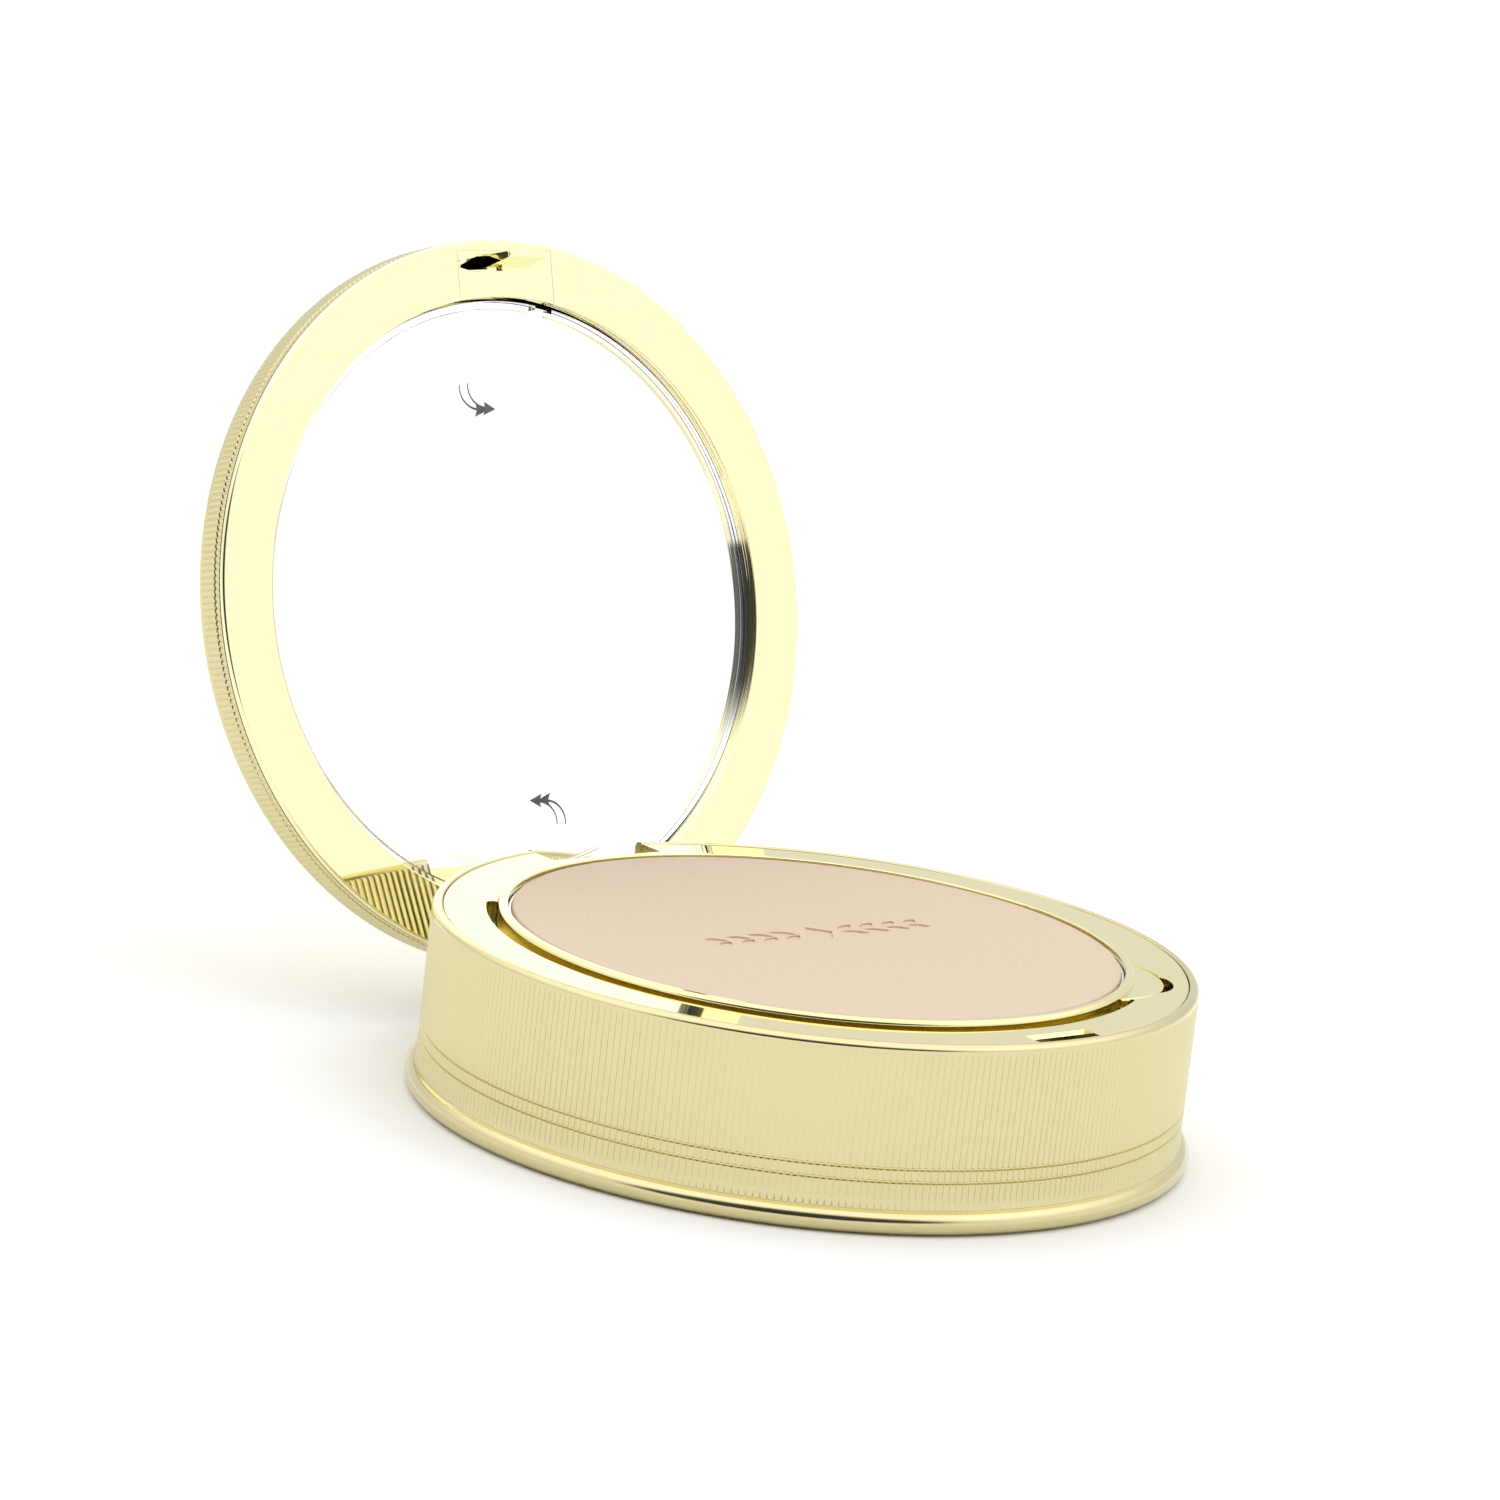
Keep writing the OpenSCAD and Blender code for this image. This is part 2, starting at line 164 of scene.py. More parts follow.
def lathe(name, outline, segments=360, ribbed=False):
    """A closed body of revolution.

    The outline is a closed loop of (r, z) or (r, z, rib depth) in millimetres.
    """
    outline = supported(outline)
    if ribbed:
        segments = RIBS * STEPS_PER_RIB
    turns = np.arange(segments) / segments
    fall = np.array([rib_fall(t) for t in turns]) if ribbed else np.zeros(segments)
    cos, sin = np.cos(TAU * turns), np.sin(TAU * turns)
    points, rings = [], []
    for row in outline:
        r, z = row[0], row[1]
        depth = row[2] if len(row) > 2 else 0.0
        start = len(points)
        if r < 1e-6:
            points.append((0.0, 0.0, z))
            rings.append([start] * segments)
            continue
        radii = r - depth * fall
        points.extend(zip(radii * cos, radii * sin, [z] * segments))
        rings.append(list(range(start, start + segments)))
    faces = []
    for a, b in zip(rings, rings[1:] + rings[:1]):
        if a[0] == a[1] and b[0] == b[1]:
            continue
        for i in range(segments):
            j = (i + 1) % segments
            corners = []
            for v in (a[i], a[j], b[j], b[i]):
                if v not in corners:
                    corners.append(v)
            faces.append(corners)
    return mesh_object(name, points, faces)


def arc(cx, cy, r, start, end, steps=8):
    """Points of an arc, with angles in degrees."""
    angles = [math.radians(start + (end - start) * i / steps) for i in range(steps + 1)]
    return [(cx + r * math.cos(a), cy + r * math.sin(a)) for a in angles]


def slab(name, outline, z_low, z_high):
    """An upright prism over a closed outline of (x, y)."""
    n = len(outline)
    points = [(x, y, z_low) for x, y in outline] + [(x, y, z_high) for x, y in outline]
    faces = [list(range(n)), list(range(n, 2 * n))]
    faces += [[i, (i + 1) % n, n + (i + 1) % n, n + i] for i in range(n)]
    return mesh_object(name, points, faces)


def prism_x(name, outline, x_low, x_high):
    """A prism along X over a closed outline of (y, z)."""
    n = len(outline)
    points = [(x_low, y, z) for y, z in outline] + [(x_high, y, z) for y, z in outline]
    faces = [list(range(n)), list(range(n, 2 * n))]
    faces += [[i, (i + 1) % n, n + (i + 1) % n, n + i] for i in range(n)]
    return mesh_object(name, points, faces)


def block(name, low, high):
    """A cutter box between two corners."""
    corners = [(low[0], low[1]), (high[0], low[1]), (high[0], high[1]), (low[0], high[1])]
    return slab(name, corners, low[2], high[2])


def round_outline(radius, cx=0.0, cy=0.0, steps=180):
    turns = [TAU * i / steps for i in range(steps)]
    return [(cx + radius * math.cos(t), cy + radius * math.sin(t)) for t in turns]


def moat_outline(r_in, r_out, start, end, steps=200):
    """Outline of a ring's sector with a rounded start.

    Angles are in degrees from the front (-Y) towards +X.
    """
    turns = [math.radians(start + (end - start) * i / steps) for i in range(steps + 1)]
    outer = [(r_out * math.sin(t), -r_out * math.cos(t)) for t in turns]
    inner = [(r_in * math.sin(t), -r_in * math.cos(t)) for t in reversed(turns)]
    nose_r = (r_out - r_in) / 2
    middle = r_in + nose_r
    nose = []
    for i in range(1, 12):
        a = math.pi * i / 12
        r, back = middle - nose_r * math.cos(a), nose_r * 0.9 * math.sin(a)
        t = turns[0] - back / middle
        nose.append((r * math.sin(t), -r * math.cos(t)))
    return outer + inner + nose


def band_groove(z):
    """Points of a thin groove in the ribbed wall, read upwards."""
    half, floor, deep = 0.16, 0.06, 0.22
    bottom = RIM_R - deep
    return [(RIM_R, z - half, RIB_DEPTH), (bottom, z - floor), (bottom, z + floor), (RIM_R, z + half, RIB_DEPTH)]


def combine(obj, other, operation):
    """Applies a boolean with another object, which is then removed."""
    mod = obj.modifiers.new("cut", "BOOLEAN")
    mod.operation = operation
    mod.solver = "EXACT"
    mod.object = other
    apply_modifiers(obj)
    bpy.data.objects.remove(other)
    return obj


def apply_modifiers(obj):
    bpy.context.view_layer.update()
    graph = bpy.context.evaluated_depsgraph_get()
    mesh = bpy.data.meshes.new_from_object(obj.evaluated_get(graph))
    old = obj.data
    obj.modifiers.clear()
    obj.data = mesh
    bpy.data.meshes.remove(old)
    return obj


def bevel(obj, width, segments=2, angle=40):
    """Rounds the edges that turn by more than the angle, by a width in millimetres."""
    mod = obj.modifiers.new("round", "BEVEL")
    mod.width = width * MM
    mod.segments = segments
    mod.limit_method = "ANGLE"
    mod.angle_limit = math.radians(angle)
    mod.use_clamp_overlap = True
    mod.harden_normals = False
    return apply_modifiers(obj)


def even_normals(obj):
    """Lets large faces set the shading normals, so that flats mirror cleanly up to their rounded edges."""
    mod = obj.modifiers.new("normals", "WEIGHTED_NORMAL")
    mod.keep_sharp = True
    mod.weight = 60
    return apply_modifiers(obj)


def turn_about_z(obj, degrees):
    obj.data.transform(Matrix.Rotation(math.radians(degrees), 4, "Z"))
    return obj


def swing_open(obj):
    """Moves a piece drawn with the lid shut to the open stop."""
    hinge = Vector((0, HINGE_Y, HINGE_Z)) * MM
    swing = Matrix.Translation(hinge) @ Matrix.Rotation(-OPEN_ANGLE, 4, "X") @ Matrix.Translation(-hinge)
    obj.data.transform(swing)
    return obj


# ---- Materials ----

def material(name, base_color, roughness, metallic=0.0):
    """A new node material with its Principled shader's constant values set."""
    mat = bpy.data.materials.new(name)
    mat.use_nodes = True
    shader = mat.node_tree.nodes["Principled BSDF"]
    shader.inputs["Base Color"].default_value = (*base_color, 1)
    shader.inputs["Roughness"].default_value = roughness
    shader.inputs["Metallic"].default_value = metallic
    return mat, mat.node_tree, shader


def noise_node(tree, scale, detail=3.0, roughness=0.55):
    coords = tree.nodes.new("ShaderNodeTexCoord")
    tex = tree.nodes.new("ShaderNodeTexNoise")
    tex.inputs["Scale"].default_value = scale
    tex.inputs["Detail"].default_value = detail
    tex.inputs["Roughness"].default_value = roughness
    tree.links.new(coords.outputs["Object"], tex.inputs["Vector"])
    return tex


def vary(tree, value, target, low, high):
    """Maps a 0 to 1 value onto a range and feeds it to a socket."""
    ramp = tree.nodes.new("ShaderNodeMapRange")
    ramp.inputs["From Min"].default_value = 0.3
    ramp.inputs["From Max"].default_value = 0.7
    ramp.inputs["To Min"].default_value = low
    ramp.inputs["To Max"].default_value = high
    tree.links.new(value, ramp.inputs["Value"])
    tree.links.new(ramp.outputs["Result"], target)


def tint(tree, value, target, dark, light):
    """Blends between two colours by a value."""
    ramp = tree.nodes.new("ShaderNodeValToRGB")
    ramp.color_ramp.elements[0].position = 0.3
    ramp.color_ramp.elements[1].position = 0.7
    ramp.color_ramp.elements[0].color = (*dark, 1)
    ramp.color_ramp.elements[1].color = (*light, 1)
    tree.links.new(value, ramp.inputs["Fac"])
    tree.links.new(ramp.outputs["Color"], target)


def bump(tree, value, shader, strength, distance, chain=None):
    node = tree.nodes.new("ShaderNodeBump")
    node.inputs["Strength"].default_value = strength
    node.inputs["Distance"].default_value = distance
    tree.links.new(value, node.inputs["Height"])
    if chain:
        tree.links.new(chain.outputs["Normal"], node.inputs["Normal"])
    tree.links.new(node.outputs["Normal"], shader.inputs["Normal"])
    return node


def scaled(color, factor):
    return tuple(min(1.0, c * factor) for c in color)


def gold(name, base_color, roughness, matt_below=None):
    """Plated plastic: a clear metal reflection with faint haze and the moulding's slight waviness.

    Below the height matt_below, in millimetres, the mould wasn't polished and the plating is duller.
    """
    mat, tree, shader = material(name, base_color, roughness, metallic=1.0)
    haze = noise_node(tree, 260)
    if matt_below is None:
        vary(tree, haze.outputs["Fac"], shader.inputs["Roughness"], roughness * 0.8, roughness * 1.3)
    else:
        coords = tree.nodes.new("ShaderNodeTexCoord")
        split = tree.nodes.new("ShaderNodeSeparateXYZ")
        tree.links.new(coords.outputs["Object"], split.inputs["Vector"])
        depth = tree.nodes.new("ShaderNodeMapRange")
        depth.inputs["From Min"].default_value = (matt_below - 0.2) * MM
        depth.inputs["From Max"].default_value = matt_below * MM
        depth.inputs["To Min"].default_value = 0.17
        depth.inputs["To Max"].default_value = 0.0
        tree.links.new(split.outputs["Z"], depth.inputs["Value"])
        total = tree.nodes.new("ShaderNodeMath")
        total.operation = "ADD"
        vary(tree, haze.outputs["Fac"], total.inputs[0], roughness * 0.8, roughness * 1.3)
        tree.links.new(depth.outputs["Result"], total.inputs[1])
        tree.links.new(total.outputs["Value"], shader.inputs["Roughness"])
    tint(tree, haze.outputs["Fac"], shader.inputs["Base Color"], scaled(base_color, 0.985), base_color)
    waves = noise_node(tree, 90, detail=1.0)
    bump(tree, waves.outputs["Fac"], shader, 0.06, 0.00008)
    return mat


def make_materials():
    mats = {}
    mats["gold_polished"] = gold("gold_polished", (0.93, 0.878, 0.55), 0.03)
    mats["gold_deck"] = gold("gold_deck", (0.86, 0.785, 0.41), 0.03, matt_below=DECK_Z - 0.35)
    # The ribbed gold is the same plating as the polished gold. Its darker base colour is painted shade, standing
    # in for the darker floor and surroundings that the ribbed walls mirror. Its higher roughness is the ribbed
    # finish's own.
    mats["gold_ribbed"] = gold("gold_ribbed", (0.685, 0.615, 0.345), 0.14)

    mat, tree, shader = material("powder", (0.76, 0.60, 0.46), 0.95)
    grain = noise_node(tree, 2600, detail=5.0, roughness=0.7)
    tint(tree, grain.outputs["Fac"], shader.inputs["Base Color"], (0.65, 0.507, 0.38), (0.715, 0.578, 0.445))
    shader.inputs["Specular IOR Level"].default_value = 0.2
    shader.inputs["Sheen Weight"].default_value = 0.08
    shader.inputs["Sheen Roughness"].default_value = 0.6
    pressed = noise_node(tree, 160, detail=2.0)
    first = bump(tree, pressed.outputs["Fac"], shader, 0.15, 0.0001)
    bump(tree, grain.outputs["Fac"], shader, 0.25, 0.00004, chain=first)
    mats["powder"] = mat

    mat, tree, shader = material("pan_aluminium", (0.80, 0.80, 0.81), 0.3, metallic=1.0)
    drawn = noise_node(tree, 700)
    vary(tree, drawn.outputs["Fac"], shader.inputs["Roughness"], 0.24, 0.36)
    mats["pan_aluminium"] = mat

    mat, tree, shader = material("mirror_glass", (0.97, 0.97, 0.985), 0.015, metallic=1.0)
    film = noise_node(tree, 60)
    vary(tree, film.outputs["Fac"], shader.inputs["Roughness"], 0.01, 0.02)
    mats["mirror_glass"] = mat

    mat, tree, shader = material("clear_plastic", (1.0, 1.0, 1.0), 0.03)
    shader.inputs["Transmission Weight"].default_value = 1.0
    shader.inputs["IOR"].default_value = 1.46
    film = noise_node(tree, 120)
    vary(tree, film.outputs["Fac"], shader.inputs["Roughness"], 0.0, 0.03)
    mats["clear_plastic"] = mat

    mat, tree, shader = material("print_ink", (0.09, 0.09, 0.11), 0.5)
    ink = noise_node(tree, 1500)
    tint(tree, ink.outputs["Fac"], shader.inputs["Base Color"], (0.07, 0.07, 0.09), (0.12, 0.12, 0.145))
    mats["print_ink"] = mat

    mat, tree, shader = material("foam_tape", (0.03, 0.03, 0.03), 0.8)
    cells = noise_node(tree, 1200)
    tint(tree, cells.outputs["Fac"], shader.inputs["Base Color"], (0.02, 0.02, 0.02), (0.05, 0.05, 0.05))
    bump(tree, cells.outputs["Fac"], shader, 0.4, 0.0001)
    mats["foam_tape"] = mat

    mat, tree, shader = material("pin_steel", (0.62, 0.62, 0.63), 0.25, metallic=1.0)
    drawn = noise_node(tree, 900)
    vary(tree, drawn.outputs["Fac"], shader.inputs["Roughness"], 0.2, 0.35)
    mats["pin_steel"] = mat

    mat, tree, shader = material("label_film", (0.83, 0.81, 0.76), 0.35)
    paper = noise_node(tree, 500)
    tint(tree, paper.outputs["Fac"], shader.inputs["Base Color"], (0.80, 0.78, 0.73), (0.85, 0.83, 0.78))
    mats["label_film"] = mat

    mat, tree, shader = material("glue_tape", (0.85, 0.84, 0.80), 0.6)
    smear = noise_node(tree, 300)
    vary(tree, smear.outputs["Fac"], shader.inputs["Roughness"], 0.5, 0.7)
    mats["glue_tape"] = mat

    mat, tree, shader = material("puff_foam", (0.86, 0.83, 0.77), 0.9)
    cells = noise_node(tree, 1400, detail=4.0)
    tint(tree, cells.outputs["Fac"], shader.inputs["Base Color"], (0.80, 0.77, 0.70), (0.90, 0.87, 0.82))
    bump(tree, cells.outputs["Fac"], shader, 0.5, 0.0002)
    mats["puff_foam"] = mat

    mat, tree, shader = material("puff_velour", (0.80, 0.66, 0.54), 0.9)
    pile = noise_node(tree, 1800, detail=4.0, roughness=0.7)
    tint(tree, pile.outputs["Fac"], shader.inputs["Base Color"], (0.72, 0.57, 0.45), (0.86, 0.73, 0.61))
    shader.inputs["Sheen Weight"].default_value = 0.5
    shader.inputs["Sheen Roughness"].default_value = 0.4
    bump(tree, pile.outputs["Fac"], shader, 0.6, 0.0002)
    mats["puff_velour"] = mat

    mat, tree, shader = material("ribbon_satin", (0.88, 0.83, 0.74), 0.35)
    coords = tree.nodes.new("ShaderNodeTexCoord")
    weave = tree.nodes.new("ShaderNodeTexWave")
    weave.bands_direction = "Y"
    weave.inputs["Scale"].default_value = 900
    tree.links.new(coords.outputs["Object"], weave.inputs["Vector"])
    tint(tree, weave.outputs["Fac"], shader.inputs["Base Color"], (0.83, 0.77, 0.67), (0.92, 0.88, 0.80))
    shader.inputs["Sheen Weight"].default_value = 0.3
    bump(tree, weave.outputs["Fac"], shader, 0.3, 0.00005)
    mats["ribbon_satin"] = mat
    return mats


MATS = make_materials()


def finish_piece(obj, slot, body, *nodes, angle=35, look=None):
    """Gives a piece its material, shading and body, and hides the CAD nodes it stands for."""
    obj.data.materials.clear()
    obj.data.materials.append(MATS[look or slot])
    smooth(obj, angle)
    if slot in ("gold_polished", "powder"):
        even_normals(obj)
    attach(obj, body)
    if nodes:
        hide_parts(*nodes)
    return obj


# ---- Base ----

def make_sleeve():
    rim_edge = 0.7
    bead_tube = 1.15
    rib_top = BASE_H - 0.85
    outline = [(SLEEVE_IN, 0), (BEAD_R - bead_tube, 0)]
    outline += arc(BEAD_R - bead_tube, bead_tube, bead_tube, -80, 76, 20)
    flare_foot, flare_top = 2.36, 4.6
    outline.append((RIM_R + 0.08, flare_foot - 0.06))
    flare_steps = 8
    for i in range(flare_steps + 1):
        t = i / flare_steps
        z = flare_foot + (flare_top - flare_foot) * t
        outline.append((RIM_R + 0.10 * (1 - t) ** 2, z, RIB_DEPTH * min(1, 2.5 * t)))
    for groove in BAND_GROOVES:
        outline += band_groove(groove)
    outline += [(RIM_R, rib_top - 0.2, RIB_DEPTH), (RIM_R - 0.02, rib_top - 0.05, RIB_DEPTH * 0.7)]
    outline += [(RIM_R - 0.03, rib_top)]
    outline += arc(RIM_R - rim_edge, BASE_H - rim_edge, rim_edge, 12, 90, 10)
    outline += arc(DECK_R + 0.3, BASE_H - 0.22, 0.22, 90, 180, 5)
    outline += [(DECK_R + 0.08, LEDGE_Z - 0.1), (SLEEVE_IN, LEDGE_Z - 0.1)]
    sleeve = lathe("sleeve", outline, ribbed=True)
    cut_top = LEDGE_Z + 0.8
    cuts = [
        block("slot_cut", (-HINGE_CUT_X, 28, HINGE_CUT_Z), (HINGE_CUT_X, 42, 20)),
        block("ear_cut", (-9.2, 28, HINGE_Z - 1.7), (9.2, HINGE_Y + 1.7, cut_top)),
        block("hook_cut", (-SLOT_X, -36.3, SLOT_FLOOR), (SLOT_X, -34.3, cut_top)),
    ]
    for cut in cuts:
        combine(sleeve, cut, "DIFFERENCE")
    return finish_piece(sleeve, "gold_ribbed", "base", "base_sleeve")


def make_deck():
    flange_in = TRAY_R + 0.12
    seat_in = 29.5
    floor_z = SEAT_Z - 0.6
    wall_r = MOAT_R + 0.7
    skirt_in = SLEEVE_IN - 0.75
    edge = 0.08
    outline = [
        (seat_in, floor_z), (wall_r, floor_z), (wall_r, LEDGE_Z), (skirt_in, LEDGE_Z),
        (skirt_in, SEAT_Z), (SLEEVE_IN, SEAT_Z), (SLEEVE_IN, LEDGE_Z), (DECK_R, LEDGE_Z),
        (DECK_R, DECK_Z - edge), (DECK_R - edge, DECK_Z), (flange_in + edge, DECK_Z),
        (flange_in, DECK_Z - edge), (flange_in, SEAT_Z), (seat_in, SEAT_Z)
    ]
    deck = lathe("deck", outline)
    walls = slab("pocket_walls", round_outline(TAB_R + 1.6, 0, -TAB_CENTRE), 14.5, DECK_Z - 0.3)
    ring = lathe("ring_cut", [(wall_r - 0.4, 10), (DECK_R - 0.2, 10), (DECK_R - 0.2, 20), (wall_r - 0.4, 20)])
    combine(walls, ring, "INTERSECT")
    combine(deck, turn_about_z(walls, TAB_TURN), "UNION")
    for side in (-1, 1):
        ear = arc(HINGE_Y, HINGE_Z, 1.5, 180, 360, 20)
        ear += [(HINGE_Y + 1.5, LEDGE_Z + 0.2), (HINGE_Y - 1.5, LEDGE_Z + 0.2)]
        combine(deck, prism_x("ear", ear, side * 8 - 1, side * 8 + 1), "UNION")
    slope = [(-34.45, DECK_Z - 0.4), (-34.0, DECK_Z + 0.05), (-34.0, 20), (-36, 20), (-36, DECK_Z - 0.4)]
    cuts = [
        block("hinge_cut", (-HINGE_CUT_X, wall_r - 0.25, HINGE_CUT_Z), (HINGE_CUT_X, 42, 20)),
        prism_x("bore", arc(HINGE_Y, HINGE_Z, 0.82, 0, 345, 23), -10, 10),
        block("latch_cut", (-SLOT_X, -40, SLOT_FLOOR), (SLOT_X, -34.4, 20)),
        prism_x("slot_slope", slope, -SLOT_X, SLOT_X),
        slab("moat_cut", moat_outline(30.5, MOAT_R, -130, 31), 16.4, 20),
    ]
    for cut in cuts:
        combine(deck, cut, "DIFFERENCE")
    for outline in (round_outline(TAB_R + 0.12, 0, -TAB_CENTRE), round_outline(4.7, 0.3, -30.2)):
        combine(deck, turn_about_z(slab("finger_cut", outline, 15.3, 20), TAB_TURN), "DIFFERENCE")
    bevel(deck, 0.07)
    return finish_piece(deck, "gold_polished", "base", "deck_frame", angle=30, look="gold_deck")


# ---- Tray ----

def make_tray():
    z0, z1 = TRAY_LOW.z, TRAY_HIGH.z
    wall_in = 30.15
    outline = [(0, z0), (TRAY_R - 0.1, z0), (TRAY_R, z0 + 0.1)]
    outline += arc(TRAY_R - 0.5, z1 - 0.5, 0.5, 0, 90, 10)
    outline += arc(wall_in + 0.16, z1 - 0.16, 0.16, 90, 180, 5)
    outline += [(wall_in, z0 + 0.6), (0, z0 + 0.6)]
    tray = lathe("tray", outline)
    tab = slab("tab", round_outline(TAB_R, 0, -TAB_CENTRE), DECK_Z - 1, DECK_Z)
    bevel(tab, 0.22, segments=4)
    combine(tab, slab("tab_cut", round_outline(TRAY_R - 0.3), 10, 20), "DIFFERENCE")
    combine(tray, turn_about_z(tab, TAB_TURN), "UNION")
    return finish_piece(tray, "gold_polished", "tray", "tray_frame", angle=40, look="gold_deck")


def make_pan():
    z0, z1 = PAN_LOW.z, PAN_HIGH.z
    outer = PAN_HIGH.x
    floor_top = z0 + 0.3
    lip = 0.06
    outline = [
        (0, z0), (outer - 0.2, z0), (outer, z0 + 0.2), (outer, z1 - lip), (outer - lip, z1),
        (POWDER_R + lip, z1), (POWDER_R, z1 - lip), (POWDER_R, floor_top), (0, floor_top)
    ]
    return finish_piece(lathe("pan", outline, 240), "pan_aluminium", "tray", "powder_pan")


def leaf(x, y, length, width, steps=10):
    """A pointed leaf outline along X, from its root at (x, y)."""
    upper = [(x + length * i / steps, y + width / 2 * math.sin(math.pi * i / steps) ** 0.8)
             for i in range(steps + 1)]
    lower = [(px, 2 * y - py) for px, py in reversed(upper[1:-1])]
    return upper + lower


def make_powder():
    """The pressed cake, with a plain sprig pressed into its middle."""
    z0, z1 = POWDER_LOW.z, POWDER_HIGH.z
    outline = [(0, z0), (POWDER_R - 0.02, z0)]
    outline += arc(POWDER_R - 0.3, z1 - 0.28, 0.28, 0, 90, 6)
    outline += [(0, z1)]
    cake = lathe("powder_cake", outline, 240)
    x_mid, y_mid, deep = 0.5, 0.3, z1 - 0.17
    shapes = [[(1.7, 0), (0, 2.1), (-1.7, 0), (0, -2.1)]]
    for side in (-1, 1):
        for place in (2.4, 5.3, 8.2, 11.1):
            for lean in (-1, 1):
                root = Matrix.Rotation(math.radians(28 * lean), 2)
                blade = [root @ Vector(p) for p in leaf(0.35, 0.0, 3.1 - place * 0.06, 1.15)]
                shapes.append([(side * (place + p.x), p.y) for p in blade])
    for shape in shapes:
        combine(cake, slab("press", [(x + x_mid, y + y_mid) for x, y in shape], deep, z1 + 1), "DIFFERENCE")
    return finish_piece(cake, "powder", "tray", "pressed_powder", angle=50)


# ---- Lid ----

def make_lid_case():
    top = FACE_Z + LID_H
    wall_z = FACE_Z + 0.65
    inner = RIM_R - 1.2
    web = RECESS_TOP + MIRROR_T + 0.25
    edge = 1.4
    wall = [(inner, wall_z), (RIM_R - 0.04, wall_z), (RIM_R, wall_z + 0.04, RIB_DEPTH)]
    wall += band_groove(FACE_Z + 1.4)
    wall += [(RIM_R, top - edge - 0.1, RIB_DEPTH), (RIM_R - 0.01, top - edge, RIB_DEPTH * 0.6)]
    wall += arc(RIM_R - edge, top - edge, edge, 6, 90, 12)
    wall += [(DISC_R + 0.06, top), (DISC_R, top - 0.06), (DISC_R, top - DISC_T), (0, top - DISC_T)]
    wall += [(0, web), (inner, web)]
    case = lathe("lid_case", wall, ribbed=True)
    combine(case, relief_cut(), "DIFFERENCE")
    return finish_piece(swing_open(case), "gold_ribbed", "lid", "lid_shell")


def relief_cut():
    """The wedge taken off the lid's face beside the hinge."""
    wedge = block("relief_cut", (-RELIEF_W / 2, 0, -3), (RELIEF_W / 2, 8, 0))
    tilt = Matrix.Rotation(math.radians(10), 4, "X")
    wedge.data.transform(Matrix.Translation(Vector((0, 31, FACE_Z)) * MM) @ tilt)
    return wedge


def make_lid_face():
    edge = 0.28
    outline = arc(OPENING_R + 0.08, FACE_Z + 0.08, 0.08, 180, 270, 4)
    outline += arc(RIM_R - 0.03 - edge, FACE_Z + edge, edge, -90, 0, 8)
    outline += [
        (RIM_R - 0.03, FACE_Z + 0.5), (RIM_R - 0.08, FACE_Z + 0.55),
        (OPENING_R + 0.9, FACE_Z + 0.55), (OPENING_R + 0.9, RECESS_TOP), (OPENING_R, RECESS_TOP)
    ]
    face = lathe("lid_face", outline)
    pad_in, pad_out, pad_low = OPENING_R + 0.3, 36.2, FACE_Z + 0.1
    pad = lathe("pad", [(pad_in, pad_low), (pad_out, pad_low), (pad_out, RECESS_TOP), (pad_in, RECESS_TOP)])
    combine(pad, block("pad_cut", (-9.7, 28, 10), (9.7, 40, 30)), "INTERSECT")
    combine(face, pad, "UNION")
    combine(face, relief_cut(), "DIFFERENCE")
    combine(face, block("arm_cut", (-6.75, 33.45, 16), (6.75, 35.15, 22)), "DIFFERENCE")
    gap = 0.02
    cut_half, cut_top = LATCH_HALF + gap, FACE_Z + 0.5 + gap
    insert_cut = block("insert_cut", (LATCH_X - cut_half, -36.3 - gap, 16), (LATCH_X + cut_half, -30, cut_top))
    combine(face, insert_cut, "DIFFERENCE")
    hole = [(-4.6, -34.6), (-3.4, -35.4), (-2.2, -35.75), (-1.0, -35.75), (-1.0, -34.4), (-3.4, -34.3)]
    combine(face, slab("pocket_hole", hole, FACE_Z - 1, FACE_Z + 1), "DIFFERENCE")
    bevel(face, 0.02, segments=1)
    return finish_piece(swing_open(face), "gold_polished", "lid", "lid_ring", angle=30)


def make_latch():
    """The insert in the lid's face, with its hook and the pocket beside the hook's root."""
    half = LATCH_HALF
    across = [LATCH_X + half - 2 * half * i / 24 for i in range(25)]
    edge = [(x, -math.sqrt((OPENING_R + 0.02) ** 2 - x * x)) for x in across]
    plate = slab("latch", [(LATCH_X - half, -36.3), (LATCH_X + half, -36.3)] + edge, FACE_Z, FACE_Z + 0.5)
    pocket = [(-4.9, -34.75), (-4.35, -34.95), (-2.5, -35.88), (0.6, -35.95), (0.6, -34.2), (-4.9, -34.02)]
    combine(plate, slab("pocket_cut", pocket, FACE_Z - 1, FACE_Z + 1), "DIFFERENCE")
    bevel(plate, 0.03, segments=2)
    low, high = 3.7, 1.0
    rings = []
    for z, x0, x1, y_in, y_out in ((high, -1.3, 3.7, -34.5, -35.9), (0, -1.3, 3.7, -34.55, -35.9),
                                   (0.3 - low, -1.3, 3.66, -35.08, -35.88), (-low, -1.2, 3.5, -35.2, -35.75)):
        rings.append([(x, y, FACE_Z + z) for x, y in ((x0, y_in), (x1, y_in), (x1, y_out), (x0, y_out))])
    points = [p for ring in rings for p in ring]
    faces = [[0, 1, 2, 3], [12, 13, 14, 15]]
    for start in (0, 4, 8):
        for i in range(4):
            j = (i + 1) % 4
            faces.append([start + i, start + j, start + 4 + j, start + 4 + i])
    hook = mesh_object("hook", points, faces)
    bevel(hook, 0.09, segments=3, angle=30)
    combine(plate, hook, "UNION")
    return finish_piece(swing_open(plate), "gold_polished", "lid", "latch_insert", angle=30)


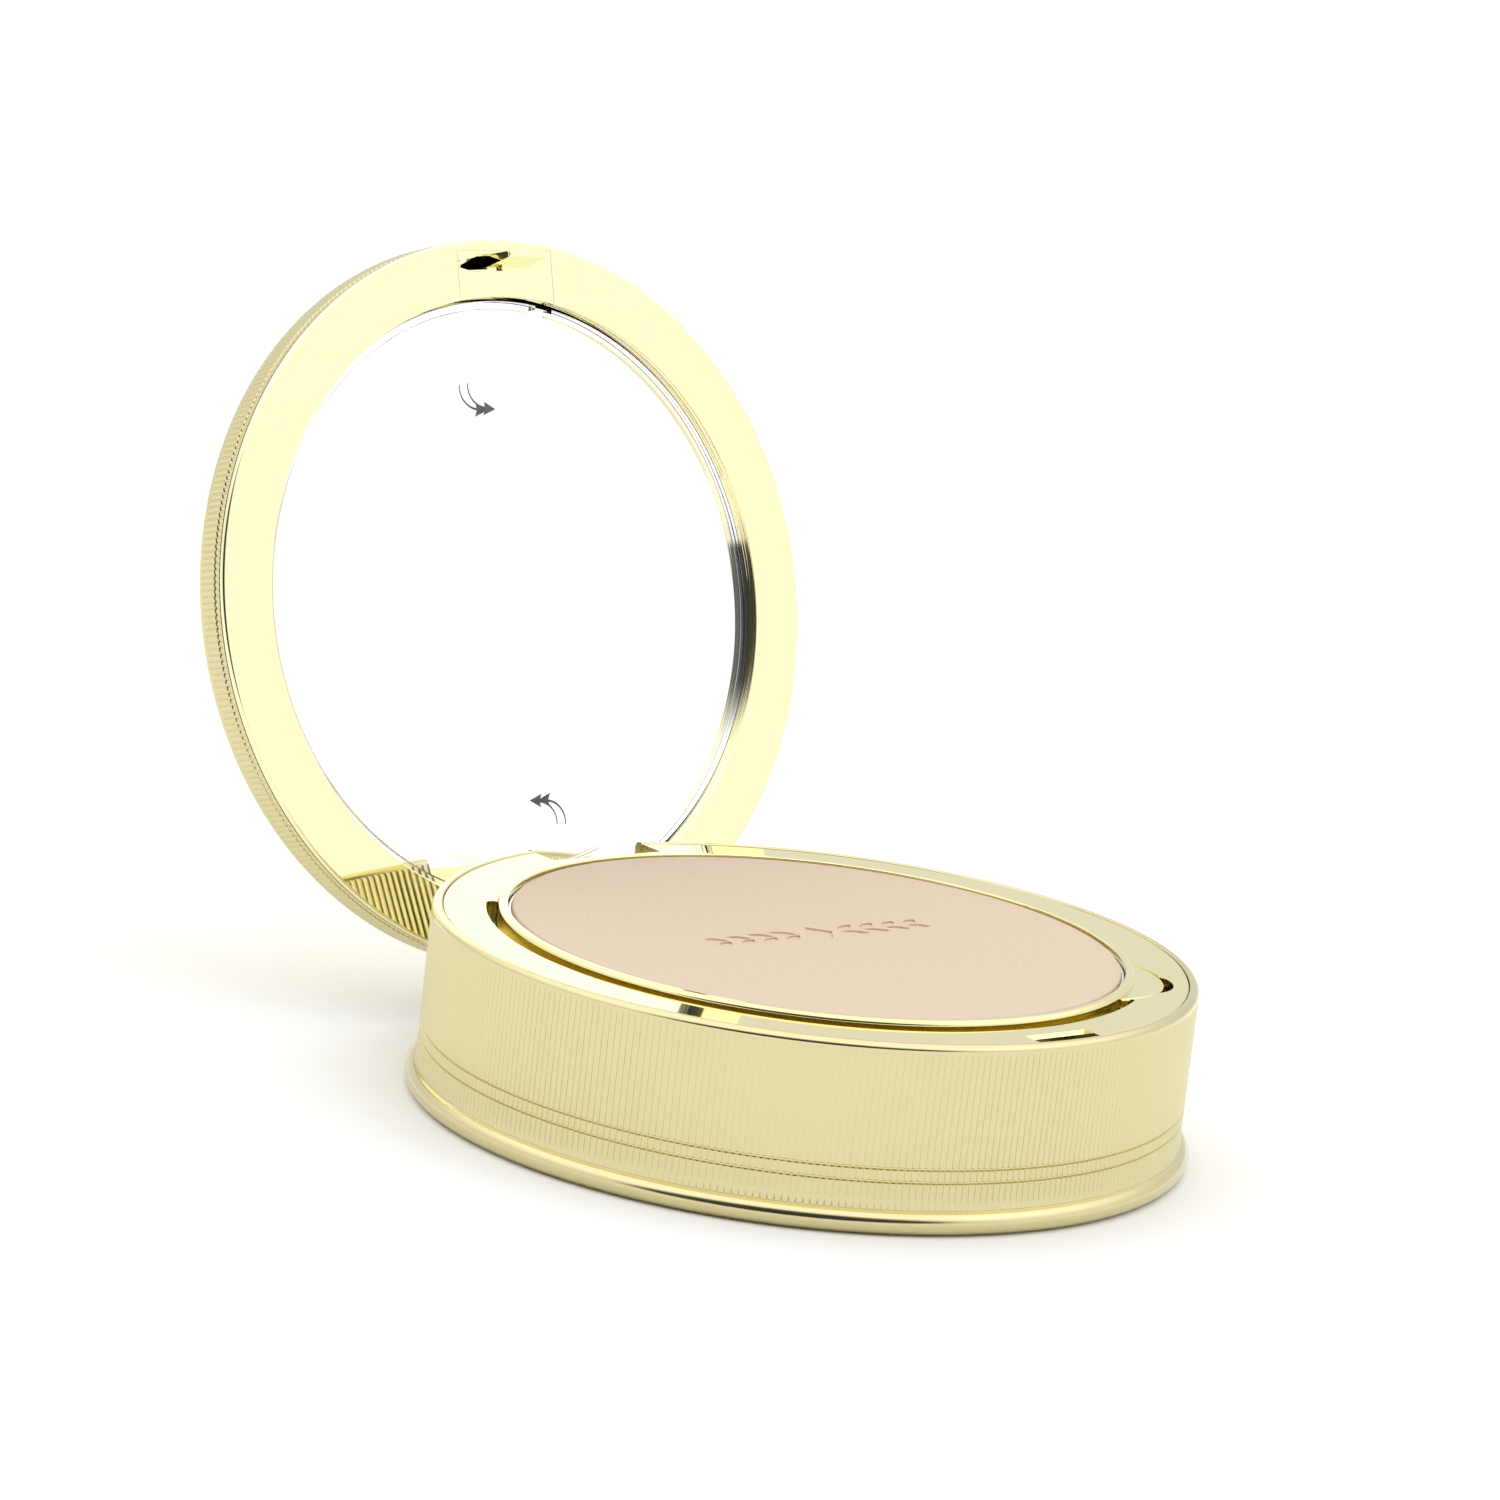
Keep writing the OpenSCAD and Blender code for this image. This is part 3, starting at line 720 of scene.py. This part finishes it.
def make_back_disc():
    top = FACE_Z + LID_H
    r = DISC_R - 0.05
    outline = [(0, top - DISC_T), (r, top - DISC_T), (r, top - 0.12), (r - 0.04, top - 0.04), (r - 0.12, top),
               (r - 1.5, top), (r - 1.6, top - 0.08), (r - 1.7, top), (0, top)]
    return finish_piece(swing_open(lathe("back_disc", outline)), "gold_polished", "lid", "lid_back_disc")


# ---- Mirror and the guard in front of it ----

def make_mirror():
    """The mirror, a little smaller than the recess: the gap is the dark line around it."""
    low, high = RECESS_TOP, RECESS_TOP + MIRROR_T
    r = OPENING_R - 0.25
    outline = [(0, low), (r - 0.05, low), (r, low + 0.05), (r, high), (0, high)]
    return finish_piece(swing_open(lathe("mirror", outline)), "mirror_glass", "lid", "mirror_disc", angle=30)



def make_guard():
    """A shallow clear dish, its rim on the mirror, with a fine raised line around its middle."""
    low, high = GUARD_FACE_Z, RECESS_TOP - 0.05
    thick = 0.5
    r = MIRROR_GUARD_R
    rim_in = r - 0.8
    line_r = 27.4
    outline = [(0, low), (line_r - 0.12, low), (line_r - 0.05, low - 0.03)]
    outline += [(line_r + 0.05, low - 0.03), (line_r + 0.12, low)]
    outline += arc(r - 0.1, low + 0.1, 0.1, -90, 0, 4)
    outline += [(r, high - 0.05), (r - 0.05, high), (rim_in + 0.05, high), (rim_in, high - 0.05),
                (rim_in, low + thick), (0, low + thick)]
    guard = lathe("guard", outline)
    for turn in (12, 192):
        notch = block("notch", (-1.1, -r - 1, low - 1), (1.1, -r + 0.5, high + 1))
        combine(guard, turn_about_z(notch, turn), "DIFFERENCE")
    return finish_piece(swing_open(guard), "clear_plastic", "guard", "mirror_guard", angle=25)


def make_arrows():
    """Two printed arrows, opposite each other, that show which way the guard turns."""
    z1 = GUARD_FACE_Z
    z0 = z1 - 0.02
    steps = 14
    points, faces = [], []
    for turn in (0, math.pi):
        left, right = [], []
        for i in range(steps + 1):
            t = i / steps
            bend = math.radians(172 + 92 * t)
            x, y = -1.9 + 2.35 * math.cos(bend), -22.65 - 2.25 * math.sin(bend)
            half = 0.055 + 0.07 * t
            nx, ny = math.cos(bend), -math.sin(bend)
            left.append((x + nx * half, y + ny * half))
            right.append((x - nx * half, y - ny * half))
        head = [(-2.3, -21.05), (-0.86, -20.26), (-2.5, -19.62), (-2.18, -20.36)]
        for shape in (left + right[::-1], head):
            n, start = len(shape), len(points)
            cos, sin = math.cos(turn), math.sin(turn)
            turned = [(x * cos - y * sin, x * sin + y * cos + 0.27) for x, y in shape]
            points.extend((x, y, z0) for x, y in turned)
            points.extend((x, y, z1) for x, y in turned)
            faces.append([start + i for i in range(n)])
            faces.append([start + n + i for i in range(n)])
            for i in range(n):
                j = (i + 1) % n
                faces.append([start + i, start + j, start + n + j, start + n + i])
    arrows = swing_open(mesh_object("arrows", points, faces))
    return finish_piece(arrows, "print_ink", "guard", "guard_arrows")


# ---- Puff ----

def swell(obj, seam_z, cap=0.8, frames=20):
    """Fills a soft piece out by cloth simulation, worked at ten times its size, with its seam held."""
    big = PUFF_SIM_SCALE
    obj.data.transform(Matrix.Scale(big, 4))
    grid = obj.modifiers.new("grid", "REMESH")
    grid.mode = "VOXEL"
    grid.voxel_size = PUFF_VOXEL
    apply_modifiers(obj)
    start = [v.co.copy() for v in obj.data.vertices]
    seam = obj.vertex_groups.new(name="seam")
    reach = 0.5 * MM * big
    seam_height, inner = seam_z * MM * big, 0.2
    held = [v.index for v in obj.data.vertices if abs(v.co.z - seam_height) < reach and v.co.xy.length > inner]
    seam.add(held, 1.0, "REPLACE")
    cloth = obj.modifiers.new("cloth", "CLOTH")
    cloth.settings.use_pressure = True
    cloth.settings.uniform_pressure_force = 4
    cloth.settings.vertex_group_mass = "seam"
    cloth.settings.effector_weights.gravity = 0
    cloth.point_cache.frame_end = frames
    for frame_number in range(1, frames + 1):
        bpy.context.scene.frame_set(frame_number)
    apply_modifiers(obj)
    bpy.context.scene.frame_set(1)
    for vertex, place in zip(obj.data.vertices, start):
        move = vertex.co - place
        if move.length > cap * MM * big:
            vertex.co = place + move.normalized() * cap * MM * big
    obj.data.transform(Matrix.Scale(1 / big, 4))


def make_puff():
    """The round velour puff, filled out by simulation, with a sewn seam around its edge."""
    low, high = cad_size("puff_front")[0], cad_size("puff_back")[1]
    mid = (low.z + high.z) / 2
    half = (high.z - low.z) / 2
    r = cad_size("puff_front")[1].x
    upper = [(0, half - 0.75), (r * 0.55, half - 0.9), (r - 4.2, half * 0.66)]
    upper += [(r - 1.6, half * 0.30), (r - 0.7, 0.3)]
    outline = [(x, mid - z) for x, z in upper] + [(x, mid + z) for x, z in reversed(upper)]
    puff = lathe("puff", outline, 96)
    swell(puff, mid)
    sub = puff.modifiers.new("round", "SUBSURF")
    sub.levels = 1 if len(puff.data.vertices) > 5000 else 2
    apply_modifiers(puff)
    for vertex in puff.data.vertices:
        place = vertex.co / MM
        across = place.xy.length
        if across > r * 0.6:
            tuck = 0.45 * math.exp(-((place.z - mid) / 0.35) ** 2)
            stitches = math.cos(90 * math.atan2(place.y, place.x))
            stitch = 0.12 * stitches * math.exp(-((place.z - mid) / 0.8) ** 2)
            place.xy *= (min(across, r - 0.15) - tuck + min(stitch, 0)) / across
        place.z = min(max(place.z, low.z + 0.05), high.z - 0.05)
        vertex.co = place * MM
    finish_piece(puff, "puff_velour", "base", "puff_core", "puff_front", "puff_back", angle=80)
    return puff


def make_ribbon(puff):
    """The satin band across the puff's back, sewn down at both ends."""
    low, high = cad_size("puff_ribbon")
    along_x = high.x - low.x > high.y - low.y
    length, width = max(high.x - low.x, high.y - low.y), min(high.x - low.x, high.y - low.y)
    thick = 0.22
    flat_z = high.z - thick / 2
    ground = BVHTree.FromObject(puff, bpy.context.evaluated_depsgraph_get())

    def place(u, v):
        x, y = (u, v) if along_x else (v, u)
        hit = ground.ray_cast(Vector((x, y, high.z + 5)) * MM, Vector((0, 0, -1)))[0]
        rest = (hit.z / MM if hit else flat_z) + thick / 2 + 0.03
        t = min(max((abs(u) - (length / 2 - 6)) / 6, 0), 1)
        fall = t * t * (3 - 2 * t)
        level = flat_z - 0.05 + 0.05 * math.cos(math.pi * v / width)
        return x, y, max(level + (rest - flat_z) * fall, rest if t > 0 else level)

    columns, rows = 12, 64
    points = [place(length * (i / rows - 0.5), width * (j / columns - 0.5))
              for i in range(rows + 1) for j in range(columns + 1)]
    n = columns + 1
    corners = [i * n + j for i in range(rows) for j in range(columns)]
    faces = [[k, k + 1, k + n + 1, k + n] for k in corners]
    ribbon = mesh_object("ribbon", points, faces)
    body = ribbon.modifiers.new("thickness", "SOLIDIFY")
    body.thickness = thick * MM
    body.offset = 0
    apply_modifiers(ribbon)
    finish_piece(ribbon, "ribbon_satin", "base", "puff_ribbon", angle=60)
    return ribbon


# ---- Carried-over CAD nodes ----

def dress_cad_nodes():
    slots = {s["node"]: s["material_slot"] for s in frame["record"]["subparts"]}
    for name, obj in frame["nodes"].items():
        obj.data.materials.clear()
        obj.data.materials.append(MATS[slots[name]])


# ---- Studio ----

def make_studio():
    reach, thick, clearance = 3.0, 1.0, 0.00005     # metres
    floor = slab("floor", [(-reach, -reach), (reach, -reach), (reach, reach), (-reach, reach)], -thick, 0)
    floor.data.transform(Matrix.Scale(1 / MM, 4))
    floor.data.transform(Matrix.Translation((0, 0, -clearance)))
    mat, tree, shader = material("floor", (0.96, 0.96, 0.96), 0.9)
    floor.data.materials.append(mat)
    world = bpy.data.worlds.new("studio")
    world.use_nodes = True
    bpy.context.scene.world = world
    tree = world.node_tree
    coords = tree.nodes.new("ShaderNodeTexCoord")

    def towards(direction, start, end, low, high, flatten=1):
        """A value that goes softly from low to high as a direction comes within an angle of the given one.

        A flatten above 1 makes the patch that much lower than it is wide.
        """
        stretch = tree.nodes.new("ShaderNodeVectorMath")
        stretch.operation = "MULTIPLY"
        stretch.inputs[1].default_value = (1, 1, flatten)
        tree.links.new(coords.outputs["Generated"], stretch.inputs[0])
        unit = tree.nodes.new("ShaderNodeVectorMath")
        unit.operation = "NORMALIZE"
        tree.links.new(stretch.outputs["Vector"], unit.inputs[0])
        dot = tree.nodes.new("ShaderNodeVectorMath")
        dot.operation = "DOT_PRODUCT"
        dot.inputs[1].default_value = (Vector(direction) * Vector((1, 1, flatten))).normalized()
        tree.links.new(unit.outputs["Vector"], dot.inputs[0])
        ramp = tree.nodes.new("ShaderNodeMapRange")
        ramp.interpolation_type = "SMOOTHSTEP"
        ramp.inputs["From Min"].default_value = math.cos(math.radians(start))
        ramp.inputs["From Max"].default_value = math.cos(math.radians(end))
        ramp.inputs["To Min"].default_value = low
        ramp.inputs["To Max"].default_value = high
        tree.links.new(dot.outputs["Value"], ramp.inputs["Value"])
        return ramp.outputs["Result"]

    def times(a, b):
        node = tree.nodes.new("ShaderNodeMath")
        node.operation = "MULTIPLY"
        tree.links.new(a, node.inputs[0])
        tree.links.new(b, node.inputs[1])
        return node.outputs["Value"]

    tent = towards((0, 0, 1), 75, 40, 1.02, 1.53)          # overhead softbox
    key = towards((0.60, -0.62, 0.5), 34, 14, 1.0, 1.12)    # large softbox, front right
    # The tent's dark front opening, low and wide, where a camera would look in.
    opening = towards((-0.64, -0.73, 0.235), 37, 27, 1.0, 0.05, flatten=4)
    backdrop = towards((0.65, 0.73, 0.15), 60, 25, 1.0, 0.85)    # a slightly darker far side
    value = times(times(tent, key), times(opening, backdrop))
    background = tree.nodes["Background"]
    background.inputs["Color"].default_value = (1, 1, 1, 1)
    tree.links.new(value, background.inputs["Strength"])


def make_camera():
    azimuth, elevation, roll = math.radians(-41.47), math.radians(12.02), math.radians(6.63)
    target = Vector((-2.3, 10.3, 34.4)) * MM
    distance = 537.5 * MM
    level = math.cos(elevation)
    back = Vector((math.sin(azimuth) * level, -math.cos(azimuth) * level, math.sin(elevation)))
    right = Vector((0, 0, 1)).cross(back).normalized()
    up = back.cross(right)
    right, up = right * math.cos(roll) + up * math.sin(roll), up * math.cos(roll) - right * math.sin(roll)
    data = bpy.data.cameras.new("camera")
    data.sensor_width = 36
    data.lens = 132.07
    data.clip_start = 0.01
    camera = bpy.data.objects.new("camera", data)
    turned = Matrix((right, up, back)).transposed().to_4x4()
    camera.matrix_world = Matrix.Translation(target + back * distance) @ turned
    bpy.context.scene.collection.objects.link(camera)
    bpy.context.scene.camera = camera


make_camera()
make_studio()
bpy.context.scene.view_settings.view_transform = "Standard"
bpy.context.scene.cycles.glossy_bounces = 10
dress_cad_nodes()
make_sleeve()
make_deck()
make_tray()
make_pan()
make_powder()
make_lid_case()
make_lid_face()
make_latch()
make_back_disc()
make_mirror()
make_guard()
make_arrows()
make_ribbon(make_puff())
